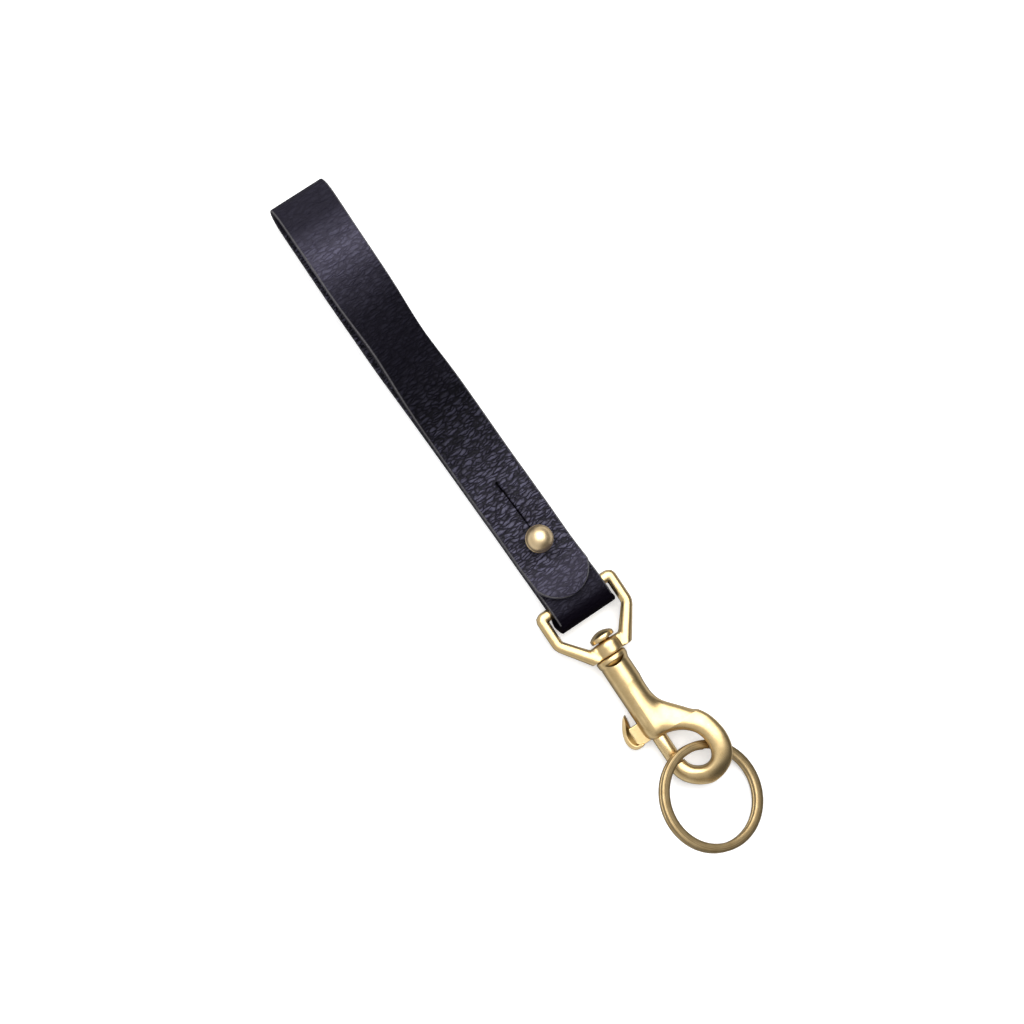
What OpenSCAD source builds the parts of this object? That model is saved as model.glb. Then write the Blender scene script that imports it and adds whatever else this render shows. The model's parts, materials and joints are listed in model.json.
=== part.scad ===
// Wristlet keychain: a leather strap doubled into a wrist loop and buttoned over a
// ball stud, a swivel eye, a sliding-bolt snap and a split key ring.
// Lies on its back: +X runs from the wrist loop to the key ring, +Z is up.
// All lengths in millimetres.

/* [Strap] */
// Width of the leather strap
strap_w = 19; // [16:0.5:20]
// Thickness of the leather
leather_t = 2; // [1.8:0.1:2.1]
// Height of the opened wrist loop, outside to outside
loop_h = 14.6; // [12:0.2:18]
// Radius of the rounded strap tip
tip_r = 10.2; // [9.8:0.2:14]
// Width of the buttonhole slit
slit_w = 0.35; // [0.2:0.05:0.6]

/* [Stud] */
// Diameter of the ball of the stud
ball_d = 8.3; // [7:0.1:9]
// Diameter of the neck below the ball
stud_neck_d = 4.4; // [4:0.1:5]
// Diameter of the slotted screw head on the back
screw_head_d = 7.6; // [6:0.2:8]

/* [Swivel eye] */
// Outside width of the eye
eye_w = 29; // [28.2:0.1:31]
// Diameter of the wire of the eye
eye_wire_d = 3.4; // [2.8:0.1:3.4]
// Diameter of the round boss that carries the swivel
boss_d = 8.8; // [8:0.2:9]
// Diameter of the domed head of the swivel post
post_head_d = 8; // [6:0.2:8]
// Diameter of the shank of the swivel post
post_d = 3.8; // [3:0.1:4]
// Radial running clearance of the swivel and of the bolt
run_gap = 0.05; // [0.02:0.01:0.1]

/* [Snap] */
// Diameter of the barrel of the snap
barrel_d = 9.4; // [8.8:0.1:9.4]
// Diameter of the sliding bolt
bolt_d = 4.7; // [4.3:0.1:4.7]
// Travel of the bolt when the thumb knob is pulled back
bolt_travel = 9.5; // [7:0.5:9.5]
// Wire diameter of the bolt spring
spring_wire_d = 0.4; // [0.3:0.05:0.45]
// Width of the thumb knob
knob_w = 4.2; // [3.4:0.1:4.2]

/* [Key ring] */
// Outside diameter of the split ring
ring_d = 35; // [34:0.5:36]
// Radial width of the flat ring wire
ring_face_w = 2.8; // [2.2:0.1:3]
// Height of the two turns together
ring_h = 3.3; // [2.8:0.1:3.3]

/* [Hidden] */
$fn = 96;
eps = 0.01;

// ---- lie of the pieces ----
line_y = -0.6;          // strap and swivel centre line, so that the ring centre is at y = 0
axis_z = 5.2;           // height of the swivel axis and of the eye
snap_roll = 18;         // the snap leans back onto its thumb knob
ring_tilt = -20.5;       // the ring lies across the snap, over the bolt and under the hook

// ---- strap path, in the XZ plane ----
loop_r = (loop_h - leather_t) / 2;           // centre line radius at the end of the loop
loop_x = -121.3 + loop_h / 2;                // centre of that bend
fold_r = 3.2;                                // centre line radius of the fold round the bar
fold_x = 36.6 - fold_r - leather_t / 2;      // centre of the fold
layer_gap = 0.1;                             // air between leather layers that lie together
z_back = leather_t / 2;                      // centre line of the back layer
z_return = z_back + leather_t + layer_gap;   // centre line of the return layer where it is flat
pitch = leather_t + layer_gap;               // from one centre line to the next
z_fold = axis_z + fold_r;                    // top of the fold, centre line
z_under = axis_z - fold_r;                   // underside of the fold, centre line
ramp_x = 12;                                 // the layers part here, towards the fold
return_end_x = -14.7;                        // end of the return layer
lift_x = -17;                                // the front layer leaves the stack here
crest_x = -96;                               // and reaches full height here
tip_x = 28.6;                                // end of the rounded tip
join_x = [2, 5];                             // overlap of the two parts of the front layer
path_step = 2.5;

// ---- stud ----
stud_x = 8.5;
slit_x = -13.1;
stud_base_z = z_return + leather_t / 2 + 0.05;
flange_d = 7.2;
flange_t = 0.8;
ball_z = 9.9;
screw_head_z = 0.05;
screw_head_t = 0.8;
screw_d = 3;
screw_top_z = 8.6;
screw_slot_w = 1;
screw_slot_t = 0.4;

// ---- swivel eye ----
bar_x = 29.7;
eye_corner_r = 0.9;
arm_y = (eye_w - eye_wire_d) / 2;
taper_x = 39.4;                               // the arms turn in here
boss_x = [45.9, 50.5];
lug_y = 5;
lug_d = 4.6;
lug_t = 0.8;
web_y = 3.9;                                  // half the width of the web at its inner face

// ---- swivel post ----
post_head_x = [42.5, 44, 45.35];              // crown, edge of the dome, underside
post_end_x = 56.2;

// ---- snap, measured from the swivel axis before it leans ----
body_x = 50.75;
collar_y = -1.1;
collar_d = 10.2;
collar_t = 1.5;
scallop_r = 4.4;                              // round cut just behind the collar
scallop_w = 1.6;
scallop_z = 3.4;
barrel_y = -1.2;
barrel_x = [54.5, 80];
barrel_round = 0.8;
bolt_y = -2.2;
bolt_x = [71, 90.05];
bore_x = 58;
hook_tip_x = 90.15;
slot_w = 2.6;
slot_play = 0.3;
neck_x = [73.1, 79.4];
neck_w = slot_w - 0.2;
neck_out_y = -10.6;
neck_in_y = bolt_y - bolt_d / 2 - 0.05;
peg_d = 2.2;
peg_in_y = -2.2;
knob_top_y = -11.9;

// sections of the shoulder and hook: inner x, inner y, outer x, outer y, half thickness
hook = [
    [68.0, -5.4, 63.0, 2.8, 4.4],
    [72.0, -5.4, 66.0, 3.3, 4.6],
    [76.5, -5.0, 68.6, 4.2, 4.6],
    [79.6, -2.5, 70.6, 5.6, 4.3],
    [80.1, 1.2, 72.9, 7.6, 3.8],
    [81.1, 4.0, 75.3, 9.6, 3.4],
    [82.7, 6.4, 78.4, 11.9, 3.0],
    [84.8, 8.2, 81.9, 14.2, 2.75],
    [87.3, 9.1, 85.8, 15.5, 2.6],
    [90.0, 9.3, 90.2, 15.9, 2.5],
    [92.4, 8.7, 94.8, 14.9, 2.5],
    [94.0, 7.6, 98.2, 12.4, 2.55],
    [94.8, 6.0, 100.3, 8.7, 2.6],
    [94.7, 4.2, 100.9, 4.4, 2.6],
    [93.9, 2.6, 99.7, 0.8, 2.6],
    [92.8, 1.4, 97.2, -2.4, 2.55],
    [91.5, 0.7, 94.2, -4.4, 2.5],
    [89.9, 0.45, 90.9, -5.2, 2.45],
    [88.4, 0.45, 88.4, -5.3, 2.4]
];
hook_sub = 3;                                 // sections between two of the above
hook_sides = 20;
hook_power = 2.4;                             // 2 is an ellipse, more is squarer

// outline of the bent plate of the thumb knob: x, y
knob = [
    [68.8, -7.7], [69.2, -8.6], [70.9, -9.9], [73.2, -11.2], [75.6, -11.85],
    [77.6, -11.75], [79.2, -10.9], [79.9, -9.4], [79.8, -7.6], [79.0, -7.3],
    [78.2, -9.3], [76.6, -10.2], [74.6, -10.1], [72.6, -9.2], [70.6, -8.2]
];
knob_sub = 4;

// ---- spring ----
spring_x = [58.15, 70.9];
spring_turns = 7;
spring_r = bolt_d / 2 - spring_wire_d / 2 - 0.25;
spring_sides = 8;
spring_seg = 16;

// ---- key ring ----
ring_x = 121.3 - ring_d / 2;
ring_z = 8.1;
turn_gap = 0.08;
turn_t = (ring_h - turn_gap) / 2;
jog_a = 122;                                  // the wire changes turn from here
jog_span = 28;
jog_steps = 14;
end_gap_a = 1;

// ================= curves =================
function ease(u) = let (c = min(1, max(0, u))) c * c * (3 - 2 * c);
function ease_slope(u) = (u <= 0 || u >= 1) ? 0 : 6 * u * (1 - u);

function back_z(x) = z_back + (z_under - z_back) * ease((x - ramp_x) / (fold_x - ramp_x));
function return_z(x) =
    z_return + (z_fold - z_return) * ease((x - ramp_x) / (fold_x - ramp_x));
function return_slope(x) =
    (z_fold - z_return) / (fold_x - ramp_x) * ease_slope((x - ramp_x) / (fold_x - ramp_x));
function front_z(x) = x > lift_x
    ? return_z(x) + pitch * sqrt(1 + pow(return_slope(x), 2))
    : z_return + pitch
        + (loop_h - leather_t / 2 - z_return - pitch) * ease((lift_x - x) / (lift_x - crest_x));

function steps(a, b, d) = let (n = ceil(abs(b - a) / d)) [for (i = [0:n]) a + (b - a) * i / n];
function arc(cx, cz, r, a, b, n) =
    [for (i = [0:n]) let (t = a + (b - a) * i / n) [cx + r * cos(t), cz + r * sin(t)]];

// a ribbon of the leather's thickness along a path
function side_of(p, h) = [for (i = [0:len(p) - 1])
    let (
        a = p[max(0, i - 1)],
        b = p[min(len(p) - 1, i + 1)],
        d = b - a,
        n = [-d[1], d[0]] / norm(d)
    ) p[i] + n * h];
function ribbon(p) = concat(
    side_of(p, leather_t / 2),
    [for (i = [len(p) - 1:-1:0]) side_of(p, -leather_t / 2)[i]]);

function catmull(a, b, c, d, t) = 0.5 * (2 * b + (c - a) * t
    + (2 * a - 5 * b + 4 * c - d) * t * t + (3 * b - a - 3 * c + d) * t * t * t);
function open_curve(k, sub) = concat(
    [for (i = [0:len(k) - 2], j = [0:sub - 1])
        catmull(k[max(0, i - 1)], k[i], k[i + 1], k[min(len(k) - 1, i + 2)], j / sub)],
    [k[len(k) - 1]]);
function closed_curve(k, sub) = [for (i = [0:len(k) - 1], j = [0:sub - 1])
    let (n = len(k)) catmull(k[(i + n - 1) % n], k[i], k[(i + 1) % n], k[(i + 2) % n], j / sub)];

// a closed skin over equal rings of points, with flat ends
function skin_faces(rings, sides) = concat(
    [[for (i = [0:sides - 1]) i]],
    [[for (i = [sides - 1:-1:0]) (rings - 1) * sides + i]],
    [for (r = [0:rings - 2], i = [0:sides - 1])
        [r * sides + i, (r + 1) * sides + i, r * sides + (i + 1) % sides]],
    [for (r = [0:rings - 2], i = [0:sides - 1])
        [(r + 1) * sides + i, (r + 1) * sides + (i + 1) % sides, r * sides + (i + 1) % sides]]);

function spow(v, e) = sign(v) * pow(abs(v), e);

// ================= placing =================
module on_line() {
    translate([0, line_y, 0]) children();
}

module on_swivel() {
    translate([0, line_y, axis_z]) children();
}

module in_snap() {
    on_swivel() rotate([snap_roll, 0, 0]) children();
}

module along_x(x0, x1, y, d) {
    translate([x0, y, 0]) rotate([0, 90, 0]) cylinder(d = d, h = x1 - x0);
}

// ================= strap =================
module strap_run(p) {
    rotate([90, 0, 0]) linear_extrude(height = strap_w, center = true) polygon(ribbon(p));
}

module strap() {
    long_path = concat(
        [for (x = steps(join_x[1], loop_x, path_step)) [x, front_z(x)]],
        [for (p = arc(loop_x, loop_h / 2, loop_r, 100, 260, 16)) p],
        [[loop_x, z_back], [-20, z_back]],
        [for (x = steps(ramp_x, fold_x - 1, path_step)) [x, back_z(x)]],
        [for (p = arc(fold_x, axis_z, fold_r, -90, 90, 18)) p],
        [for (x = steps(fold_x - 1, return_end_x, path_step)) [x, return_z(x)]]
    );
    tip_path = [for (x = steps(tip_x, join_x[0], path_step / 2)) [x, front_z(x)]];
    color("#23202b") on_line() difference() {
        union() {
            strap_run(long_path);
            intersection() {
                strap_run(tip_path);
                union() {
                    translate([tip_x - tip_r, 0, 0]) cylinder(r = tip_r, h = 4 * axis_z);
                    translate([0, -strap_w / 2 - 1, 0])
                        cube([tip_x - tip_r, strap_w + 2, 4 * axis_z]);
                }
            }
        }
        // buttonhole: a slit that runs into the hole round the neck
        translate([slit_x, -slit_w / 2, z_return + leather_t / 2 + layer_gap / 2])
            cube([stud_x - slit_x, slit_w, 2 * leather_t]);
        translate([stud_x, 0, stud_base_z])
            cylinder(d = stud_neck_d + 0.2, h = 2 * leather_t);
        // leather pressed in round the flange of the stud and the screw
        translate([stud_x, 0, stud_base_z]) cylinder(d = flange_d + 0.2, h = flange_t + 0.05);
        translate([stud_x, 0, -1]) cylinder(d = screw_d + 0.2, h = 1 + stud_base_z + eps);
        translate([stud_x, 0, -1])
            cylinder(d = screw_head_d + 0.2, h = 1 + screw_head_z + screw_head_t);
    }
}

// ================= stud =================
module stud_knob() {
    color("#d8b467") on_line() translate([stud_x, 0, 0]) difference() {
        union() {
            translate([0, 0, stud_base_z]) cylinder(d = flange_d, h = flange_t);
            translate([0, 0, stud_base_z]) cylinder(d = stud_neck_d, h = ball_z - stud_base_z);
            translate([0, 0, ball_z]) sphere(d = ball_d);
        }
        translate([0, 0, stud_base_z - 1]) cylinder(d = screw_d, h = screw_top_z + 1.2 - stud_base_z);
    }
}

module stud_screw() {
    color("#c9a75c") on_line() translate([stud_x, 0, 0]) difference() {
        union() {
            translate([0, 0, screw_head_z]) cylinder(d = screw_head_d, h = screw_head_t);
            translate([0, 0, screw_head_z]) cylinder(d = screw_d, h = screw_top_z - screw_head_z);
        }
        translate([-screw_head_d, -screw_slot_w / 2, screw_head_z - 1])
            cube([2 * screw_head_d, screw_slot_w, 1 + screw_slot_t]);
    }
}

// ================= swivel eye =================
module eye_outline() {
    x0 = bar_x - eye_wire_d / 2;
    translate([x0 + eye_corner_r, -eye_w / 2]) square([30, eye_w]);
    translate([x0, -eye_w / 2 + eye_corner_r]) square([30, eye_w - 2 * eye_corner_r]);
    for (s = [-1, 1])
        translate([x0 + eye_corner_r, s * (eye_w / 2 - eye_corner_r)]) circle(r = eye_corner_r);
}

module swivel_eye() {
    color("#cfae68") on_swivel() difference() {
        union() {
            // bar, corners and straight arms
            intersection() {
                union() {
                    translate([bar_x, eye_w / 2, 0]) rotate([90, 0, 0])
                        cylinder(d = eye_wire_d, h = eye_w);
                    for (s = [-1, 1])
                        along_x(bar_x - eye_wire_d / 2, taper_x, s * arm_y, eye_wire_d);
                }
                linear_extrude(height = 2 * eye_wire_d, center = true) eye_outline();
            }
            // tapered arms into the lugs
            for (s = [-1, 1]) hull() {
                translate([taper_x, s * arm_y, 0]) sphere(d = eye_wire_d, $fn = 32);
                translate([boss_x[1] - lug_t, s * lug_y, 0]) rotate([0, 90, 0])
                    cylinder(d = lug_d, h = lug_t, $fn = 32);
            }
            // web that joins the lugs across the boss
            hull() for (s = [-1, 1]) {
                translate([boss_x[0] + 0.2, s * web_y, 0]) rotate([0, 90, 0])
                    cylinder(d = lug_d - 0.4, h = lug_t, $fn = 32);
                translate([boss_x[1] - lug_t, s * lug_y, 0]) rotate([0, 90, 0])
                    cylinder(d = lug_d, h = lug_t, $fn = 32);
            }
            // boss, a short barrel with eased ends
            rotate([0, 90, 0]) rotate_extrude() polygon([
                [0, boss_x[0]], [boss_d / 2 - 0.9, boss_x[0]], [boss_d / 2 - 0.25, boss_x[0] + 0.35],
                [boss_d / 2, boss_x[0] + 1.1], [boss_d / 2, boss_x[1] - 0.5],
                [boss_d / 2 - 0.3, boss_x[1]], [0, boss_x[1]]
            ]);
        }
        along_x(boss_x[0] - 1, boss_x[1] + 1, 0, post_d + 2 * run_gap);
    }
}

module swivel_post() {
    head_r = post_head_d / 2;
    rise = post_head_x[1] - post_head_x[0];
    dome_r = (head_r * head_r + rise * rise) / (2 * rise);
    color("#d8b467") on_swivel() {
        intersection() {
            translate([post_head_x[0] + dome_r, 0, 0]) sphere(r = dome_r);
            along_x(post_head_x[0] - 1, post_head_x[2], 0, post_head_d);
        }
        along_x(post_head_x[2] - 0.5, post_end_x, 0, post_d);
    }
}

// ================= snap =================
module hook_skin() {
    c = open_curve(hook, hook_sub);
    pts = [for (q = c, i = [0:hook_sides - 1])
        let (
            a = 360 * i / hook_sides,
            m = [(q[0] + q[2]) / 2, (q[1] + q[3]) / 2],
            h = [(q[2] - q[0]) / 2, (q[3] - q[1]) / 2],
            w = spow(cos(a), 2 / hook_power),
            u = spow(sin(a), 2 / hook_power)
        ) [m[0] + h[0] * w, m[1] + h[1] * w, q[4] * u]];
    polyhedron(pts, skin_faces(len(c), hook_sides));
}

module barrel() {
    r = barrel_d / 2;
    x0 = barrel_x[0];
    x1 = barrel_x[1];
    translate([0, barrel_y, 0]) rotate([0, 90, 0]) rotate_extrude() polygon([
        [0, x0 - 2.5], [r - 0.2, x0 - 2.5], [r, x0], [r, x1 - barrel_round],
        [r - barrel_round * 0.3, x1 - barrel_round * 0.3], [r - barrel_round, x1], [0, x1]
    ]);
    // collar at the swivel
    translate([0, collar_y, 0]) rotate([0, 90, 0]) rotate_extrude() polygon([
        [0, body_x], [collar_d / 2 - 0.3, body_x], [collar_d / 2, body_x + 0.3],
        [collar_d / 2, body_x + collar_t], [collar_d / 2 - 0.9, body_x + collar_t + 2.2],
        [0, body_x + collar_t + 2.2]
    ]);
}

module snap_body() {
    color("#cfae68") in_snap() difference() {
        union() {
            barrel();
            hook_skin();
        }
        // round cut behind the collar, on the upper side
        intersection() {
            translate([body_x + collar_t + scallop_w - scallop_r, barrel_y, 0])
                rotate([-snap_roll, 0, 0]) translate([0, 0, scallop_z])
                cylinder(r = scallop_r, h = barrel_d);
            translate([body_x + collar_t, -barrel_d, 0]) cube([4 * scallop_w, 2 * barrel_d, barrel_d]);
        }
        // flat end of the hook
        translate([hook_tip_x - 8, bolt_y - 4.2, -5]) cube([8, 7.2, 10]);
        // bore for the bolt and its spring
        along_x(bore_x, hook_tip_x - 1, bolt_y, bolt_d + 2 * run_gap);
        // blind hole for the swivel post
        along_x(body_x - 1, post_end_x + 0.3, 0, post_d);
        // slot for the neck of the thumb knob, open at the end of the barrel
        translate([neck_x[0] - bolt_travel - slot_play, bolt_y - 8, -slot_w / 2])
            cube([barrel_x[1] + 1 - neck_x[0] + bolt_travel + slot_play, 8, slot_w]);
    }
}

module bolt() {
    color("#d8b467") in_snap() difference() {
        along_x(bolt_x[0], bolt_x[1], bolt_y, bolt_d);
        translate([(neck_x[0] + neck_x[1]) / 2, bolt_y - bolt_d, 0]) rotate([-90, 0, 0])
            cylinder(d = peg_d, h = peg_in_y - bolt_y + bolt_d + 0.3);
    }
}

module thumb_knob() {
    outline = closed_curve(knob, knob_sub);
    lobe_y = knob_top_y + knob_w / 2;
    color("#cfae68") in_snap() {
        intersection() {
            linear_extrude(height = knob_w, center = true) polygon(outline);
            // rounded across its width
            union() {
                along_x(60, 90, lobe_y, knob_w);
                translate([60, lobe_y, -knob_w / 2]) cube([30, 8, knob_w]);
            }
        }
        translate([neck_x[0], neck_out_y, -neck_w / 2])
            cube([neck_x[1] - neck_x[0], neck_in_y - neck_out_y, neck_w]);
        translate([(neck_x[0] + neck_x[1]) / 2, neck_in_y - 0.5, 0]) rotate([-90, 0, 0])
            cylinder(d = peg_d, h = peg_in_y - neck_in_y + 0.5);
    }
}

module bolt_spring() {
    n = spring_turns * spring_seg;
    x0 = spring_x[0] + spring_wire_d / 2;
    x1 = spring_x[1] - spring_wire_d / 2;
    pts = [for (k = [0:n], i = [0:spring_sides - 1])
        let (
            t = 360 * k / spring_seg,
            a = -360 * i / spring_sides,
            r = spring_r + spring_wire_d / 2 * cos(a)
        ) [
            x0 + (x1 - x0) * k / n + spring_wire_d / 2 * sin(a),
            bolt_y + r * cos(t),
            r * sin(t)
        ]];
    color("#b9bcc0") in_snap() polyhedron(pts, skin_faces(n + 1, spring_sides));
}

// ================= key ring =================
module ring_turn(z0, a0) {
    rotate([0, 0, a0]) rotate_extrude(angle = 360 - jog_span - end_gap_a)
        translate([ring_d / 2 - ring_face_w, z0]) square([ring_face_w, turn_t]);
}

module ring_jog() {
    r0 = ring_d / 2 - ring_face_w + 0.02;
    r1 = ring_d / 2 - 0.02;
    lap = 1.5;
    pts = [for (k = [-1:jog_steps + 1])
        let (
            a = k < 0 ? jog_a - lap
                : k > jog_steps ? jog_a + jog_span + lap
                : jog_a + jog_span * k / jog_steps,
            z = -ring_h / 2 + (turn_t + turn_gap) * ease(k / jog_steps)
        )
        each [
            [r0 * cos(a), r0 * sin(a), z + 0.02],
            [r0 * cos(a), r0 * sin(a), z + turn_t - 0.02],
            [r1 * cos(a), r1 * sin(a), z + turn_t - 0.02],
            [r1 * cos(a), r1 * sin(a), z + 0.02]
        ]];
    polyhedron(pts, skin_faces(jog_steps + 3, 4));
}

module split_ring() {
    color("#a98a4f") translate([ring_x, 0, ring_z]) rotate([ring_tilt, 0, 0]) {
        // lower turn ends where the wire climbs, upper turn starts there
        ring_turn(-ring_h / 2, jog_a + jog_span + end_gap_a);
        ring_turn(ring_h / 2 - turn_t, jog_a + jog_span);
        ring_jog();
    }
}

strap();
stud_knob();
stud_screw();
swivel_eye();
swivel_post();
snap_body();
bolt();
thumb_knob();
bolt_spring();
split_ring();
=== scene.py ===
import json
import math

import bmesh
import bpy
import numpy as np
from mathutils import Matrix, Vector


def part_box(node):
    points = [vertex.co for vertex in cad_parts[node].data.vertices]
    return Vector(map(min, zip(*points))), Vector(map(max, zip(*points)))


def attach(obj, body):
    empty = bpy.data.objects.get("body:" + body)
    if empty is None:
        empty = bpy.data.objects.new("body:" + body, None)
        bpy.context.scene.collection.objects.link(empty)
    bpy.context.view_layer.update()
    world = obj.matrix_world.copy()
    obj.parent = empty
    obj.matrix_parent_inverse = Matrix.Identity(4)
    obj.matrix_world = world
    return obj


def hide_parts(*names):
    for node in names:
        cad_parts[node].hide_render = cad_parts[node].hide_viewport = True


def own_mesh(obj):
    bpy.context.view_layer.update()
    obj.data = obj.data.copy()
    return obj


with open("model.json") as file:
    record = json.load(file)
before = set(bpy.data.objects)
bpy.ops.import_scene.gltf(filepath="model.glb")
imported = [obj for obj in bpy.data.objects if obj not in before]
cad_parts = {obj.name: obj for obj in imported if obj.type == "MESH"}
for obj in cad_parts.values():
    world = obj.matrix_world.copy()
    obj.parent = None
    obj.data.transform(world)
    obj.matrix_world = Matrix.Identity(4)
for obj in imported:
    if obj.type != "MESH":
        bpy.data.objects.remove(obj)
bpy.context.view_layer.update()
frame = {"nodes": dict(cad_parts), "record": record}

# Lengths are in mm until a mesh is made: +X from the loop to the ring, +Z up from the table.
MM = 0.001
joints = {j["name"]: j for j in frame["record"]["behaviour"]["joints"]}
AXIS = Vector(joints["snap_swivel"]["pos_m"]) / MM       # a point on the swivel axis
LINE_Y, AXIS_Z = AXIS.y, AXIS.z
BAR_X = (Vector(joints["eye_swing"]["pos_m"]) / MM).x    # the eye's bar
STRAP_LO, STRAP_HI = [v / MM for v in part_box("strap")]
RING_LO, RING_HI = [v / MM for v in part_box("split_ring")]
ROLL = math.radians(18)          # the snap lies rolled on its swivel
TILT = math.radians(-20.5)       # the ring leans on the table
ON_SWIVEL = Matrix.Translation((0, LINE_Y, AXIS_Z))
IN_SNAP = ON_SWIVEL @ Matrix.Rotation(ROLL, 4, "X")
IN_BARREL = IN_SNAP @ Matrix.Translation((0, -1.2, 0))
IN_BORE = IN_SNAP @ Matrix.Translation((0, -2.2, 0))
BOLT_R = 2.35
STUD_X = 8.5
STUD_ASIDE = 0.25                # the ball sits this far to the side of the strap's line
HIDDEN = 0.01                    # radius that closes a turned profile on its axis


# ---------------------------------------------------------------- mesh helpers
def ease(u):
    """A smooth step from 0 to 1."""
    u = np.clip(u, 0, 1)
    return u * u * (3 - 2 * u)


def hump(d, width):
    """A bell of height 1, by the distance d from its middle."""
    return np.exp(-(d / width) ** 2)


def read(items, name, kind=float, per=1):
    """One property of every item of a mesh, as numbers or as rows of numbers."""
    out = np.zeros(len(items) * per, kind)
    items.foreach_get(name, out)
    return out.reshape(-1, per) if per > 1 else out


def paint(ob, name, values):
    """A number at every vertex, for the materials to read."""
    layer = ob.data.attributes.new(name, "FLOAT", "POINT")
    layer.data.foreach_set("value", values.astype(np.float32))


def place_object(name, data):
    ob = bpy.data.objects.new(name, data)
    bpy.context.scene.collection.objects.link(ob)
    return ob


def make(name, verts, faces, place=None, smooth=True):
    """A mesh object from points in mm, placed by a matrix in mm."""
    v = np.asarray(verts, float).reshape(-1, 3)
    if place is not None:
        m = np.array(place)
        v = v @ m[:3, :3].T + m[:3, 3]
    me = bpy.data.meshes.new(name)
    me.from_pydata((v * MM).tolist(), [], faces)
    bm = bmesh.new()
    bm.from_mesh(me)
    bmesh.ops.recalc_face_normals(bm, faces=bm.faces)
    bm.to_mesh(me)
    bm.free()
    for p in me.polygons:
        p.use_smooth = smooth
    return place_object(name, me)


def skin(rings):
    """Points and faces over equal rings of points, with end caps."""
    rings = np.asarray(rings, float)
    r, s = rings.shape[:2]
    idx = np.arange(r * s).reshape(r, s)
    a, b = idx[:-1], idx[1:]
    faces = np.stack([a, np.roll(a, -1, 1), np.roll(b, -1, 1), b], -1).reshape(-1, 4).tolist()
    faces += [idx[0][::-1].tolist(), idx[-1].tolist()]
    return rings.reshape(-1, 3), faces


def lathe(profile, seg=96):
    """A solid turned round the X axis from (x, radius) pairs."""
    t = np.linspace(0, 2 * math.pi, seg, endpoint=False)
    return skin([[(x, r * math.cos(a), r * math.sin(a)) for a in t] for x, r in profile])


def upright(solid, x, y):
    """A turned solid stood on end at x, y."""
    v, faces = solid
    return np.stack([v[:, 1] + x, v[:, 2] + y, v[:, 0]], 1), faces


def arc_profile(centre, rad, a0, a1, n):
    """(x, radius) pairs along a circle centred on the axis, between two angles in degrees."""
    turns = [math.radians(a0 + (a1 - a0) * i / n) for i in range(n + 1)]
    return [(centre + rad * math.cos(a), max(1e-4, rad * math.sin(a))) for a in turns]


def catmull(keys, sub, closed=False):
    """A smooth curve through the keys, with sub steps between two of them."""
    k = np.asarray(keys, float)
    n = len(k)
    out = []
    for i in range(n if closed else n - 1):
        if closed:
            a, b, c, d = (k[(i + j) % n] for j in (-1, 0, 1, 2))
        else:
            a, b, c, d = (k[min(n - 1, max(0, i + j))] for j in (-1, 0, 1, 2))
        for j in range(sub):
            t = j / sub
            out.append(0.5 * (2 * b + (c - a) * t + (2 * a - 5 * b + 4 * c - d) * t * t
                              + (3 * b - a - 3 * c + d) * t ** 3))
    if not closed:
        out.append(k[-1])
    return np.array(out)


def super_ring(n, power):
    """A unit circle, squarer as the power grows past 2."""
    t = np.linspace(0, 2 * math.pi, n, endpoint=False)
    c, s = np.cos(t), np.sin(t)
    return np.sign(c) * np.abs(c) ** (2 / power), np.sign(s) * np.abs(s) ** (2 / power)


def tube(path, radii, sides, power=2.0, up=(0, 0, 1)):
    """A tube along points; radii is one or (across, up) for each point."""
    p = np.asarray(path, float)
    t = np.gradient(p, axis=0)
    t /= np.linalg.norm(t, axis=1)[:, None]
    w, u = super_ring(sides, power)
    rings = []
    for q, d, r in zip(p, t, radii):
        ra, rb = r if np.ndim(r) else (r, r)
        side = np.cross(up, d)
        side /= np.linalg.norm(side)
        top = np.cross(d, side)
        rings.append(q + side * (w * ra)[:, None] + top * (u * rb)[:, None])
    return skin(rings)


def block(name, lo, hi, place):
    x0, y0, z0 = lo
    x1, y1, z1 = hi
    ends = [[(x, y0, z0), (x, y1, z0), (x, y1, z1), (x, y0, z1)] for x in (x0, x1)]
    return make(name, *skin(ends), place)


def apply(ob):
    """Turns the object's modifiers into its mesh."""
    dg = bpy.context.evaluated_depsgraph_get()
    me = bpy.data.meshes.new_from_object(ob.evaluated_get(dg))
    ob.modifiers.clear()
    ob.data = me


def relax(ob, rounds):
    """Adds a smoothing modifier."""
    m = ob.modifiers.new("s", "SMOOTH")
    m.factor = 0.5
    m.iterations = rounds
    return m


def fuse(name, parts, voxel, rounds):
    """Joins overlapping closed pieces into one skin with small fillets."""
    bm = bmesh.new()
    for o in parts:
        bm.from_mesh(o.data)
        bpy.data.objects.remove(o)
    me = bpy.data.meshes.new(name)
    bm.to_mesh(me)
    bm.free()
    ob = place_object(name, me)
    m = ob.modifiers.new("r", "REMESH")
    m.mode = "VOXEL"
    m.voxel_size = voxel * MM
    m.use_smooth_shade = True
    relax(ob, rounds)
    apply(ob)
    return ob


def soften(ob, weight, rounds):
    """Smooths a cast piece only where weight(x, y, z) says so."""
    x, y, z = read(ob.data.vertices, "co", per=3).T / MM
    w = np.broadcast_to(weight(x, y, z), x.shape)
    g = ob.vertex_groups.new(name="soft")
    for step in np.arange(0.1, 1.0, 0.1):
        picked = np.nonzero((w > step - 0.05) & (w <= step + 0.05))[0]
        g.add(picked.tolist(), float(step), "REPLACE")
    g.add(np.nonzero(w > 0.95)[0].tolist(), 1.0, "REPLACE")
    relax(ob, rounds).vertex_group = "soft"
    apply(ob)


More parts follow.
